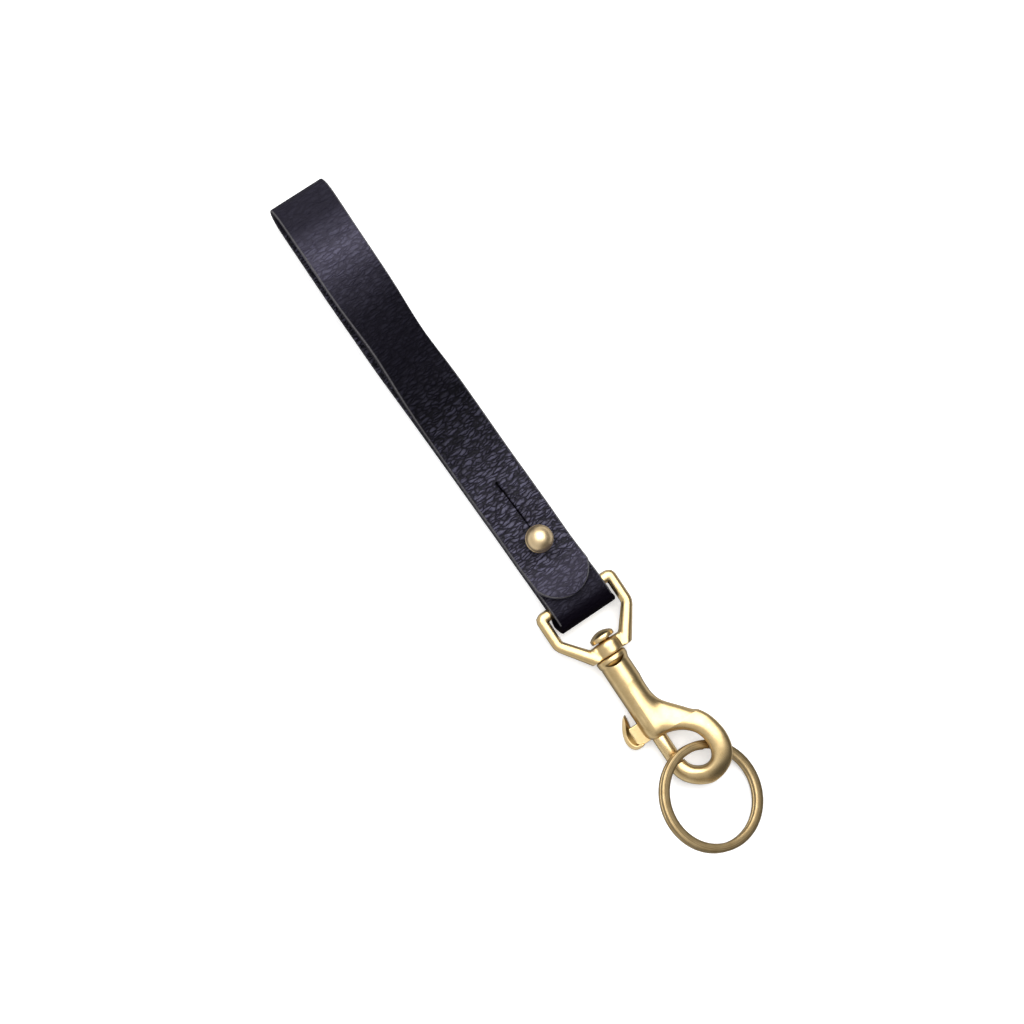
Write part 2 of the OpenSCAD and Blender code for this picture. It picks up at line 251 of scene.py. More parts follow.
def paint_shade(ob, weight, place):
    """Marks where painted shade darkens the brass, by weight(point, normal) in the frame of the
    matrix.
    """
    m = np.array(place.inverted())
    v = read(ob.data.vertices, "co", per=3) / MM @ m[:3, :3].T + m[:3, 3]
    n = read(ob.data.vertex_normals, "vector", per=3) @ m[:3, :3].T
    paint(ob, "painted_shade", weight(v.T, n.T))


def carve(ob, cutters, solver="MANIFOLD"):
    """Cuts the cutters out of the object, and deletes them."""
    for c in cutters:
        m = ob.modifiers.new("c", "BOOLEAN")
        m.operation = "DIFFERENCE"
        m.solver = solver
        m.object = c
    apply(ob)
    for c in cutters:
        bpy.data.objects.remove(c)


def finish_piece(ob, body, nodes, mat):
    """Gives a piece its material, hides the CAD parts that it stands for and hangs it on its body.
    """
    ob.data.materials.clear()
    ob.data.materials.append(mat)
    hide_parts(*nodes)
    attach(ob, body)


# ---------------------------------------------------------------- node helpers
def nodes_for(name):
    m = bpy.data.materials.new(name)
    m.use_nodes = True
    return m, m.node_tree, m.node_tree.nodes["Principled BSDF"]


def put(nt, socket, value):
    """Links an input to another node's output, or sets it to a plain value."""
    if isinstance(value, bpy.types.NodeSocket):
        nt.links.new(value, socket)
    else:
        socket.default_value = value


def add(nt, kind, **inputs):
    """A node; each keyword is one of its inputs or one of its settings."""
    n = nt.nodes.new("ShaderNode" + kind)
    for k, v in inputs.items():
        key = k.replace("_", " ")
        if key in n.inputs:
            put(nt, n.inputs[key], v)
        else:
            setattr(n, k, v)
    return n


def maths(nt, operation, *values):
    n = add(nt, "Math", operation=operation)
    for socket, value in zip(n.inputs, values):
        put(nt, socket, value)
    return n.outputs[0]


def blend(nt, factor, a, b, how="MIX"):
    """Colour a where the factor is 0, and b, or a times b, where it is 1."""
    n = add(nt, "Mix", data_type="RGBA", blend_type=how, Factor=factor)
    put(nt, n.inputs[6], a)
    put(nt, n.inputs[7], b)
    return n.outputs[2]


def remap(nt, value, lo, hi, to_lo, to_hi):
    """The value with lo..hi stretched over to_lo..to_hi."""
    n = add(nt, "MapRange", Value=value, From_Min=lo, From_Max=hi, To_Min=to_lo, To_Max=to_hi)
    return n.outputs["Result"]


def noise(nt, vector, **inputs):
    return add(nt, "TexNoise", Vector=vector, **inputs).outputs["Fac"]


def painted(nt, name):
    """A number that paint() left on the mesh."""
    return add(nt, "Attribute", attribute_name=name).outputs["Fac"]


def grey(v):
    return v, v, v


def ramp(nt, source, stops):
    """Colours at given values of the source, blended between them."""
    r = nt.nodes.new("ShaderNodeValToRGB")
    while len(r.color_ramp.elements) < len(stops):
        r.color_ramp.elements.new(0.5)
    for e, (pos, col) in zip(r.color_ramp.elements, stops):
        e.position = pos
        e.color = (*col, 1)
    nt.links.new(source, r.inputs["Fac"])
    return r.outputs["Color"]


def scaled(nt, vector, scale):
    return add(nt, "Mapping", Vector=vector, Scale=scale).outputs["Vector"]


def object_coords(nt, scale):
    return scaled(nt, add(nt, "TexCoord").outputs["Object"], scale)


PER_MM = (1 / MM, 1 / MM, 1 / MM)     # scales coordinates in metres to mm


# ---------------------------------------------------------------- materials
def brass(name, light, dark, rough, grain, bump, turned=0.0):
    """Solid brass: satin grain, faint handling marks, darker hollows, painted shade where a piece
    is marked for it, turned lines on request.

    grain is the size of the satin grain and bump its depth, in mm; turned is the depth of the
    lines against it.
    """
    # the colour of painted shade, laid where a piece is marked for it
    painted_shade = (0.24, 0.20, 0.13, 1)
    m, nt, b = nodes_for(name)
    co = object_coords(nt, PER_MM)
    mottle = noise(nt, co, Scale=0.35, Detail=4.0, Roughness=0.6)
    fine = noise(nt, co, Scale=1 / grain, Detail=6.0, Roughness=0.65)
    marks = noise(nt, object_coords(nt, (350, 5200, 5200)), Scale=1.0, Detail=3.0, Roughness=0.7)

    pointiness = add(nt, "NewGeometry").outputs["Pointiness"]
    raised = ramp(nt, pointiness, [(0.44, grey(0)), (0.52, grey(1))])
    tint = ramp(nt, mottle, [(0.3, dark), (0.7, light)])
    colour = blend(nt, raised, (*[c * 0.55 for c in dark], 1), tint)
    # painted shade multiplies the colour where the mesh is marked for it
    colour = blend(nt, painted(nt, "painted_shade"), colour, painted_shade, "MULTIPLY")
    height = maths(nt, "ADD", fine, maths(nt, "MULTIPLY", marks, 0.5))
    if turned:
        lines = add(nt, "TexNoise", noise_dimensions="1D", Scale=4.0, Detail=3.0, Roughness=0.6,
                    W=painted(nt, "across")).outputs["Fac"]
        worn = ramp(nt, lines, [(0.38, grey(0.55)), (0.6, grey(1))])
        colour = blend(nt, 1.0, colour, worn, "MULTIPLY")
        height = maths(nt, "MULTIPLY_ADD", lines, turned, height)

    put(nt, b.inputs["Base Color"], colour)
    put(nt, b.inputs["Metallic"], 1.0)
    put(nt, b.inputs["Roughness"], remap(nt, fine, 0.25, 0.75, rough - 0.06, rough + 0.08))
    relief = add(nt, "Bump", Strength=0.35, Distance=bump * MM, Height=height)
    put(nt, b.inputs["Normal"], relief.outputs["Normal"])
    return m


def leather(name):
    """Pebbled full-grain leather on the strap's own length and width, with pale cut edges.

    It reads four numbers that are painted on the strap: smooth calms the grain, painted light and
    shade scales the colour and the gloss, painted shade darkens, and edge shows the cut fibres.
    """
    m, nt, b = nodes_for(name)
    run = scaled(nt, add(nt, "UVMap", uv_map="run").outputs["UV"], PER_MM)
    warp = add(nt, "TexNoise", Vector=run, Scale=0.35, Detail=3.0).outputs["Color"]
    bent = add(nt, "VectorMath", operation="MULTIPLY_ADD")
    for socket, value in zip(bent.inputs, (warp, (1.7, 1.7, 1.7), run)):
        put(nt, socket, value)
    cells = add(nt, "TexVoronoi", feature="DISTANCE_TO_EDGE", Scale=1.0, Randomness=1.0,
                Vector=scaled(nt, bent.outputs["Vector"], (1.0, 0.27, 1.0)))
    pebble = ramp(nt, cells.outputs["Distance"], [
        (0.0, grey(0)), (0.16, grey(0.75)), (0.42, grey(1))])
    pores = noise(nt, run, Scale=2.4, Detail=5.0, Roughness=0.65)
    creases = noise(nt, scaled(nt, run, (0.85, 0.22, 1.0)), Scale=1.0, Detail=3.0, Roughness=0.55)

    # how strong the grain is along the strap
    amount = noise(nt, run, Scale=0.045, Detail=1.0)
    smooth_zone = painted(nt, "smooth")
    depth = maths(nt, "MULTIPLY", remap(nt, amount, 0.35, 0.65, 0.75, 1.0),
                  maths(nt, "SUBTRACT", 1.0, smooth_zone))
    pebble_height = maths(nt, "MULTIPLY", pebble, depth)
    height = maths(nt, "MULTIPLY_ADD", pores, 0.3, pebble_height)
    height = maths(nt, "MULTIPLY_ADD", creases, 2.6, height)
    relief = add(nt, "Bump", Strength=1.0, Distance=0.32 * MM, Height=height)
    put(nt, b.inputs["Normal"], relief.outputs["Normal"])

    # the tops of the pebbles are paler, broken by the pores and lost in the creases
    broken = maths(nt, "MULTIPLY", pebble, remap(nt, pores, 0.3, 0.7, 0.68, 1.32))
    grain = ramp(nt, maths(nt, "MULTIPLY", broken, creases), [
        (0.08, (0.002, 0.0015, 0.005)), (0.3, (0.014, 0.012, 0.024)),
        (0.56, (0.057, 0.054, 0.088))])
    colour = blend(nt, smooth_zone, grain, (0.020, 0.017, 0.033, 1))
    # painted light and shade along the strap scales the colour, lighter or darker as the light
    # falls on it
    painted_light_shade = painted(nt, "painted_light_shade")
    painted_lit_colour = add(nt, "VectorMath", operation="SCALE", Scale=painted_light_shade)
    put(nt, painted_lit_colour.inputs[0], colour)
    shade = painted(nt, "shade")
    colour = blend(nt, shade, painted_lit_colour.outputs["Vector"], (0.0022, 0.0015, 0.0035, 1))
    fibre = ramp(nt, pores, [(0.3, (0.05, 0.048, 0.052)), (0.7, (0.11, 0.105, 0.11))])
    put(nt, b.inputs["Base Color"], blend(nt, painted(nt, "edge"), colour, fibre))

    put(nt, b.inputs["Roughness"], remap(nt, pebble_height, 0.0, 1.0, 0.62, 0.40))
    gloss = maths(nt, "MULTIPLY", remap(nt, shade, 0.0, 1.0, 0.22, 0.02), painted_light_shade)
    put(nt, b.inputs["Specular IOR Level"], gloss)
    return m


def steel(name):
    m, nt, b = nodes_for(name)
    drawn = noise(nt, object_coords(nt, PER_MM), Scale=3.0, Detail=4.0)
    tint = ramp(nt, drawn, [(0.3, (0.42, 0.43, 0.45)), (0.7, (0.66, 0.67, 0.69))])
    put(nt, b.inputs["Base Color"], tint)
    put(nt, b.inputs["Metallic"], 1.0)
    put(nt, b.inputs["Roughness"], 0.3)
    return m


# light and dark colour, roughness, grain, bump, turned
CAST = brass("cast_brass", (0.84, 0.64, 0.34), (0.72, 0.52, 0.25), 0.30, 0.22, 0.02)
POLISHED = brass("polished_brass", (0.86, 0.66, 0.36), (0.76, 0.55, 0.27), 0.28, 0.3, 0.01)
# a lighter copy of the brass for the stud's ball: painted light for its broad bright highlight
BUTTON = brass("lit_button_brass", (0.95, 0.77, 0.49), (0.87, 0.66, 0.38), 0.39, 0.3, 0.01)
RING = brass("ring_brass", (0.60, 0.45, 0.24), (0.46, 0.33, 0.16), 0.38, 0.3, 0.02, 1.2)
LEATHER = leather("pebbled_leather")
STEEL = steel("spring_steel")


# ---------------------------------------------------------------- strap
FRONT, LOOP, BACK, FOLD, RETURN = range(5)       # its parts, in the order it runs
LEATHER_T = 2.0
LOOP_H = STRAP_HI.z - STRAP_LO.z
FOLD_R = 3.2                                     # of the middle of the leather, round the bar
FOLD_X = STRAP_HI.x - FOLD_R - LEATHER_T / 2 + 0.5
HALF_W = (STRAP_HI.y - STRAP_LO.y) / 2 + 0.12
EDGE_R = 0.6
TIP_X, TIP_R = 28.6, 10.2
# how far the strap drifts sideways, by x
DRIFT_X = [-121, -90, -62, -44, -28, -13, 2, 18, 32, 40]
DRIFT_Y = [-3.5, -3.35, -2.8, -2.0, -1.4, -0.9, -0.4, 0.0, 0.25, 0.25]
# painted light and shade on the front layer, by x
PAINTED_LIGHT_SHADE_X = [-116, -111, -99, -89, -78, -60, -44, -25, -14, 0, 18, 29]
PAINTED_LIGHT_SHADE = [0.45, 0.52, 1.65, 0.65, 0.26, 0.2, 0.27, 0.75, 1.15, 1.15, 1.4, 1.15]


def strap_line():
    """The middle of the leather from the tip to the hidden end: x, z and the part of each point."""
    loop_x = STRAP_LO.x + LOOP_H / 2
    return_z = 3.1
    lift = 2.1                               # from the middle of one layer to the next
    ramp0, ramp1 = 12.0, FOLD_X - 2.6        # the lower layers climb to the bar between these
    rise = AXIS_Z + FOLD_R - return_z
    open_x, open_run = -17, 79               # where the loop starts to open, and how slowly
    return_end = -14.0

    def back(x):
        low = LEATHER_T / 2
        return low + (AXIS_Z - FOLD_R - low) * ease((x - ramp0) / (ramp1 - ramp0))

    def ret(x):
        return return_z + rise * ease((x - ramp0) / (ramp1 - ramp0))

    def front(x):
        u = np.clip((x - ramp0) / (ramp1 - ramp0), 0, 1)
        slope = rise / (ramp1 - ramp0) * 6 * u * (1 - u)
        over = ret(x) + lift * np.sqrt(1 + slope ** 2)
        to_loop = LOOP_H - LEATHER_T / 2 - return_z - lift
        away = return_z + lift + to_loop * ease((open_x - x) / open_run)
        z = np.where(x > open_x, over, away)
        # the hidden end of the return layer shows as a soft step
        return z - 0.25 * ease((return_end - x) / 1.8) * (1 - ease((open_x - x) / 16))

    def layer(height, xs, part):
        return [(x, float(height(np.array(x))), part) for x in xs]

    def bend(cx, cz, rad, turns, part):
        return [(cx + rad * math.cos(a), cz + rad * math.sin(a), part) for a in turns]

    # rows stand close together at the rounded tip
    xs = [TIP_X - 3.2 * (1 - math.cos(a)) for a in np.linspace(0.12, math.pi / 2, 14)]
    xs += list(np.arange(xs[-1] - 0.5, loop_x, -0.5)) + [loop_x]
    pts = layer(front, xs, FRONT)
    loop_turns = np.linspace(math.pi / 2, 1.5 * math.pi, 46)[1:]
    pts += bend(loop_x, LOOP_H / 2, (LOOP_H - LEATHER_T) / 2, loop_turns, LOOP)
    pts += layer(back, np.arange(loop_x + 0.7, FOLD_X - 0.3, 0.7), BACK)
    pts += bend(FOLD_X, AXIS_Z, FOLD_R, np.linspace(-math.pi / 2, math.pi / 2, 34), FOLD)
    pts += layer(ret, np.arange(FOLD_X - 0.5, -14.7, -0.7), RETURN)
    return (np.array(column) for column in zip(*pts))


def strap_section():
    """The outline of the strap's cross-section, as (side, out, up) for each point.

    side is -1 to 1 over the flat width, out is added to it past the flat, and up is -1 to 1
    over the thickness.
    """
    flat = [-1 + 2 * i / 18 for i in range(19)]
    turn = np.linspace(math.pi / 2, -math.pi / 2, 9)[1:-1]
    section = [(f, 0, 1) for f in flat]
    section += [(1, EDGE_R * math.cos(a), math.sin(a)) for a in turn]
    section += [(-f, 0, -1) for f in flat]
    section += [(-1, -EDGE_R * math.cos(a), math.sin(a)) for a in -turn]
    return section


def unroll(me, p, section):
    """UV coordinates, in metres, along the strap and round its cross-section."""
    n = len(section)
    outline = [(side * (HALF_W - EDGE_R) + out, up) for side, out, up in section]
    run = np.concatenate([[0], np.cumsum(np.linalg.norm(np.diff(p, axis=0), axis=1))])
    steps = [math.dist(a, b) for a, b in zip(outline, outline[1:])]
    around = np.concatenate([[0], np.cumsum(steps)])
    total = around[-1] + 0.5
    layer = me.uv_layers.new(name="run")
    vertex = read(me.loops, "vertex_index", np.int32)
    u = run[vertex // n]
    v = around[vertex % n]
    starts = read(me.polygons, "loop_start", np.int32)
    counts = read(me.polygons, "loop_total", np.int32)
    for start, count in zip(starts, counts):
        corners = v[start:start + 4]
        # a face across the seam ends where the next turn would start
        if count == 4 and corners.max() - corners.min() > total / 2:
            corners[corners < total / 2] += total
    layer.data.foreach_set("uv", np.stack([u, v], 1).ravel() * MM)


def strap_cutters():
    """The buttonhole's slit, the hole round the stud's neck and the pocket for its screw's head."""
    low, high = 4.15, 9                       # the front layer only
    neck_r, head_r = 2.35, 3.85
    path = catmull([(-13.4, -0.95, 0), (-6, -0.45, 0), (1.7, 0.1, 0), (STUD_X, 0.3, 0)], 12)
    rings = []
    for q in path:
        # the slit is widest in its middle and closes towards the stud
        w = 0.02 + 0.075 * max(0.0, math.sin(math.pi * min(1.0, (q[0] + 14.2) / 16.2))) ** 0.5
        rings.append([(q[0], LINE_Y + q[1] + w * side, z)
                      for side, z in ((-1, low), (1, low), (1, high), (-1, high))])
    cut = [make("slit", *skin(rings), smooth=False)]
    for name, z0, z1, rad in (("hole", low, high, neck_r), ("pocket", -1, 0.9, head_r)):
        solid = upright(lathe([(z0, rad), (z1, rad)], 48), STUD_X, LINE_Y)
        cut.append(make(name, *solid, smooth=False))
    return cut


def strap():
    x, z, part = strap_line()
    p = np.stack([x, LINE_Y + np.interp(x, DRIFT_X, DRIFT_Y), z], 1)
    tan = np.gradient(p, axis=0)
    tan /= np.linalg.norm(tan, axis=1)[:, None]

    # the front layer rolls where the loop opens, and again, less, at the loop's end
    upper_loop = (part == LOOP) * ease(2 * z / LOOP_H - 1)
    roll = math.radians(19) * hump(x + 66, 17) * (part == FRONT)
    roll += math.radians(5) * hump(x + 100, 14) * np.where(part == FRONT, 1.0, upper_loop)

    width = np.full(len(x), HALF_W)
    d = TIP_X - x
    tip = (part == FRONT) & (d < TIP_R)
    round_tip = np.sqrt(np.maximum(0.05, TIP_R ** 2 - (TIP_R - d[tip]) ** 2))
    width[tip] = np.minimum(HALF_W, round_tip)
    # the leather is widened a little under the fold and painted dark there, standing for the shadow
    # beside the fold
    under = (part == BACK) | ((part == FOLD) & (z < AXIS_Z + 2.9))
    width += 0.85 * hump(x - FOLD_X - 1.0, 2.8) * under * (1 - ease((z - AXIS_Z - 1.0) / 1.8))

    section = strap_section()
    rings = []
    for q, ahead, angle, w in zip(p, tan, roll, width):
        side = np.array([0.0, 1.0, 0.0])
        side -= ahead * side.dot(ahead)
        side /= np.linalg.norm(side)
        up = np.cross(side, ahead)
        side_r = side * math.cos(angle) - up * math.sin(angle)
        up_r = up * math.cos(angle) + side * math.sin(angle)
        rings.append([q + side_r * (s * (w - EDGE_R) + out) + up_r * (u * LEATHER_T / 2)
                      for s, out, u in section])
    ob = make("wrist_strap_leather", *skin(rings))
    unroll(ob.data, p, section)

    # the burnished cut edge is palest along its upper corner
    def paleness(out, up):
        if not out or abs(up) > 0.98:
            return 0.0
        return 1.0 if up > 0.6 else 0.12

    n = len(section)
    # painted shadow on the widened sides under the fold, which also hides the pale edge there
    painted_shadow_at_bar = under * ease((x - 27.5) / 2)
    edge = np.array([paleness(out, up) for _, out, up in section])
    paint(ob, "edge", np.tile(edge, len(rings)) * (1 - np.repeat(painted_shadow_at_bar, n)))

    calm = 0.62 * (1 - ease((x + 62) / 26)) * (part == FRONT)
    calm += 0.45 * ease((x - 14) / 8) * (part == FRONT)
    calm += 0.2 * (1 - ease((x + 110) / 8)) * (part == FRONT)
    calm += 0.8 * (part == LOOP)
    calm += 0.5 * ((part == FOLD) | ((part == RETURN) & (x > 26)))
    paint(ob, "smooth", np.repeat(np.clip(calm, 0, 1), n))

    # painted shade darkens the fold round the bar, less towards its far end
    round_bar = (part == FOLD) | (part == RETURN)
    shade = round_bar * ease((x - 29.8) / 3.6) * (1 - 0.45 * ease((x - 35.2) / 1.0))
    paint(ob, "shade", np.repeat(np.maximum(shade, painted_shadow_at_bar), n))

    # painted light and shade along the front layer, and one flat level for each other part
    painted_light_shade = np.interp(x, PAINTED_LIGHT_SHADE_X, PAINTED_LIGHT_SHADE)
    for other, tone in ((LOOP, 0.45), (BACK, 0.8), (FOLD, 0.8), (RETURN, 0.5)):
        painted_light_shade[part == other] = tone
    paint(ob, "painted_light_shade", np.repeat(painted_light_shade, n))

    carve(ob, strap_cutters(), "EXACT")
    finish_piece(ob, "wrist_strap", ["strap"], LEATHER)


strap()


# ---------------------------------------------------------------- stud
def stud():
    at = (STUD_X, LINE_Y + STUD_ASIDE)
    # flange, neck and head, by height
    ball = [(4.15, HIDDEN), (4.15, 3.6), (4.95, 3.6), (4.95, 2.2), (6.2, 2.2), (6.38, 2.2)]
    ball += arc_profile(9.9, 4.2, 180 - 32, 0, 40)
    lip_z, lip_at, lip_r = 9.2, 3.98, 0.42
    lip = [(lip_z + lip_r * math.cos(a), lip_at + lip_r * math.sin(a))
           for a in np.linspace(math.pi, 0, 15)]
    lip = [(8.78, HIDDEN)] + lip + [(9.62, HIDDEN)]
    parts = [make("ball", *upright(lathe(ball), *at)), make("lip", *upright(lathe(lip), *at))]
    ob = fuse("stud_ball", parts, 0.08, 2)
    finish_piece(ob, "wrist_strap", ["stud_knob"], BUTTON)


stud()


# ---------------------------------------------------------------- swivel eye
def swivel_eye():
    lo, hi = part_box("swivel_eye")
    half_w = (hi.y - lo.y) / 2 / MM - 1.7                # to the middle of an arm
    corner = 1.0
    taper_x, boss_x, boss_y = 40.2, 50.3, 4.6            # where an arm turns in, and where it ends
    end_x = 50.5

    bar = [(BAR_X, y, 0) for y in np.linspace(-half_w + corner, half_w - corner, 40)]
    parts = [make("bar", *tube(bar, [1.72] * len(bar), 40), ON_SWIVEL)]
    for s in (-1, 1):
        q = [(BAR_X, s * (half_w - 3), 0), (BAR_X, s * (half_w - corner), 0)]
        q += [(BAR_X + corner - corner * math.cos(a),
               s * (half_w - corner + corner * math.sin(a)), 0)
              for a in np.linspace(0.15, math.pi / 2, 8)]
        q += [(x, s * half_w, 0) for x in np.linspace(BAR_X + corner + 0.8, 38.6, 9)]
        q += [(39.4, s * (half_w - 0.12), 0), (taper_x, s * (half_w - 0.5), 0)]
        q += [(taper_x + (boss_x - taper_x) * k,
               s * (half_w - 0.5 + (boss_y - half_w + 0.5) * k), 0)
              for k in np.linspace(0.1, 1, 14)]
        # an arm grows towards the boss, more in height than in width
        grown = [max(0.0, (x - 40) / 9.2) for x, _, _ in q]
        radii = [(1.8 + 0.45 * g, 1.8 + 0.75 * g) for g in grown]
        parts.append(make("arm", *tube(q, radii, 40, 2.3), ON_SWIVEL))
        # the outer corner is nearly square
        q = [(BAR_X - 0.95, s * half_w, 0), (BAR_X + 1.4, s * half_w, 0)]
        parts.append(make("corner", *tube(q, [1.35, 1.5], 32, 2.3), ON_SWIVEL))

    # x, half width and half height of the flat web between the arms
    web_keys = [(45.95, 5.6, 2.1), (46.25, 5.9, 2.5), (47.2, 6.3, 2.75), (50.2, 7.25, 2.6),
                (50.45, 7.15, 2.5), (end_x, 7.0, 2.3)]
    a, b = super_ring(48, 3.2)
    web = [[(x, w * p, h * q) for p, q in zip(a, b)] for x, w, h in web_keys]
    parts.append(make("web", *skin(web), ON_SWIVEL))
    # the arms end flat, level with the boss
    trim = block("trim", (end_x, -12, -6), (54, 12, 6), ON_SWIVEL)
    boss = [(45.9, HIDDEN), (45.9, 3.5), (46.1, 3.9), (46.6, 4.25), (47.4, 4.4), (49.8, 4.4),
            (50.3, 4.3), (end_x, 4.1), (end_x, HIDDEN)]
    parts.append(make("boss", *lathe(boss), ON_SWIVEL))
    ob = fuse("eye_frame", parts, 0.15, 9)
    soften(ob, lambda x, y, z: 0.9 * ease((x - 43) / 3) * (1 - ease((x - 49.2) / 0.9)), 26)
    carve(ob, [trim])
    ob = fuse("swivel_eye_frame", [ob], 0.13, 8)
    finish_piece(ob, "eye", ["swivel_eye"], CAST)


swivel_eye()


def swivel_post():
    tip_x, dome_r = 42.5, 6.08
    post = [(tip_x, HIDDEN)] + arc_profile(tip_x + dome_r, dome_r, 180, 180 - 39.5, 14)[1:]
    post += [(44.05, 3.97), (44.3, 4.0), (45.1, 4.0), (45.3, 3.85), (45.35, 3.6)]
    post += [(45.35, 1.9), (52.0, 1.9), (52.0, HIDDEN)]
    ob = make("swivel_post_head", *lathe(post), ON_SWIVEL)
    finish_piece(ob, "snap", ["swivel_post"], POLISHED)


swivel_post()


# ---------------------------------------------------------------- snap body
# inner x, inner y, outer x, outer y, half thickness, how much thinner the outer side is
HOOK = [
    (66.0, -5.2, 62.0, 2.6, 4.4, 0.0), (72.0, -5.4, 66.0, 3.3, 4.3, 0.35),
    (76.5, -5.0, 68.6, 4.2, 4.1, 0.55), (79.8, -2.5, 70.6, 5.6, 3.8, 0.58),
    (80.5, 1.2, 72.9, 7.6, 3.5, 0.5), (81.5, 4.0, 75.2, 9.6, 3.25, 0.42),
    (83.0, 6.3, 78.3, 12.0, 2.95, 0.35), (85.0, 8.1, 81.8, 14.3, 2.75, 0.3),
    (87.4, 9.0, 85.8, 15.6, 2.6, 0.28), (90.0, 9.2, 90.2, 16.0, 2.55, 0.3),
    (92.4, 8.7, 94.8, 15.0, 2.5, 0.38), (94.0, 7.6, 98.2, 12.5, 2.46, 0.48),
    (94.7, 6.0, 100.3, 8.7, 2.42, 0.54), (94.6, 4.2, 100.95, 4.4, 2.42, 0.52),
    (93.8, 2.6, 99.7, 0.8, 2.48, 0.4), (92.7, 1.4, 97.2, -2.4, 2.55, 0.22),
    (91.4, 0.7, 94.2, -4.4, 2.5, 0.1), (89.9, 0.45, 90.9, -5.2, 2.45, 0.0),
    (88.4, 0.45, 88.4, -5.3, 2.4, 0.0)]
BARREL = [
    (52.0, HIDDEN), (52.0, 4.5), (54.0, 4.72), (58, 4.76), (76.4, 4.76), (77.6, 4.64),
    (78.6, 4.3), (79.4, 3.7), (79.9, 2.95), (80.05, 2.5), (80.05, HIDDEN)]
COLLAR = [
    (50.75, HIDDEN), (50.75, 4.75), (50.95, 5.05), (51.3, 5.15), (52.1, 5.15), (52.7, 5.05),
    (54.9, 4.2), (54.9, HIDDEN)]


def snap_casting():
    """Hook, barrel and collar in one skin."""
    w, u = super_ring(56, 2.08)
    rings = []
    for ix, iy, ox, oy, hz, thin in catmull(HOOK, 10):
        mid = (ix + ox) / 2, (iy + oy) / 2
        half = (ox - ix) / 2, (oy - iy) / 2
        rings.append([(mid[0] + half[0] * a, mid[1] + half[1] * a, hz * b * (1 - thin * a))
                      for a, b in zip(w, u)])
    ob = fuse("snap_body_casting", [
        make("hook", *skin(rings), IN_SNAP),
        make("barrel", *lathe(BARREL), IN_BARREL),
        make("collar", *lathe(COLLAR), IN_SNAP @ Matrix.Translation((0, -1.1, 0)))], 0.16, 6)

    def shoulder(x, y, z):
        return ease((x - 60) / 4) * (1 - ease((x - 77.6) / 1.8)) * ease((y + 3.5) / 3)

    def fillet(x, y, z):
        return np.exp(-((x - 69.5) / 5.5) ** 2 - ((y - 2.3) / 2.9) ** 2) * (x > 58)

    soften(ob, shoulder, 50)
    # the hook grows out of the barrel with a wide fillet
    soften(ob, fillet, 1500)
    return ob


def snap_body():
    ob = snap_casting()
    # a round cut behind the collar: a D seen from above, with a floor that slopes away
    flat_x, rad, ahead = 52.1, 4.4, 1.85
    deep, slope = 3.95, 0.5
    level = IN_BARREL @ Matrix.Rotation(-ROLL, 4, "X")
    half_turn = math.acos((rad - ahead) / rad)
    outline = [(flat_x + ahead - rad + rad * math.cos(t), rad * math.sin(t))
               for t in np.linspace(-half_turn, half_turn, 33)]
    low = [(x, y, deep - slope * (x - flat_x)) for x, y in outline]
    high = [(x, y, deep + 6) for x, y in outline]
    carve(ob, [
        block("tip", (82.1, -6.6, -5), (90.15, 0.9, 5), IN_SNAP),
        make("bore", *lathe([(58, 2.4), (89.0, 2.4)], 64), IN_BORE),
        make("post_hole", *lathe([(49.75, 1.92), (56.5, 1.92)], 64), IN_SNAP),
        make("scallop", *skin([low, high]), level, smooth=False),
        block("slot", (63.3, -10.2, -1.3), (81.5, -2.2, 1.3), IN_SNAP)])
    for p in ob.data.polygons:
        p.use_smooth = True
    ob.data.set_sharp_from_angle(angle=math.radians(40))

    # painted shade in the cut behind the collar, strongest near its floor
    def recess_shade(v, n):
        x, y, z = v
        floor_z = deep - slope * (x - flat_x)
        in_cut = (x > flat_x + 0.2) & (x < flat_x + 2.0) & (z > 2)
        in_cut &= np.hypot(x - flat_x - ahead + rad, y) < rad + 0.03
        return in_cut * (1 - ease((z - floor_z - 0.35) / 0.9))

    paint_shade(ob, recess_shade, level)
    finish_piece(ob, "snap", ["snap_body"], CAST)


snap_body()


# ---------------------------------------------------------------- bolt, knob, spring
def slide_bolt():
    rod = [(71.0, HIDDEN), (71.0, 2.1), (71.25, BOLT_R), (89.6, BOLT_R), (89.9, 2.2),
           (90.05, 1.9), (90.05, HIDDEN)]
    ob = make("slide_bolt_rod", *lathe(rod), IN_BORE)
    finish_piece(ob, "slide_bolt", ["bolt"], POLISHED)


slide_bolt()


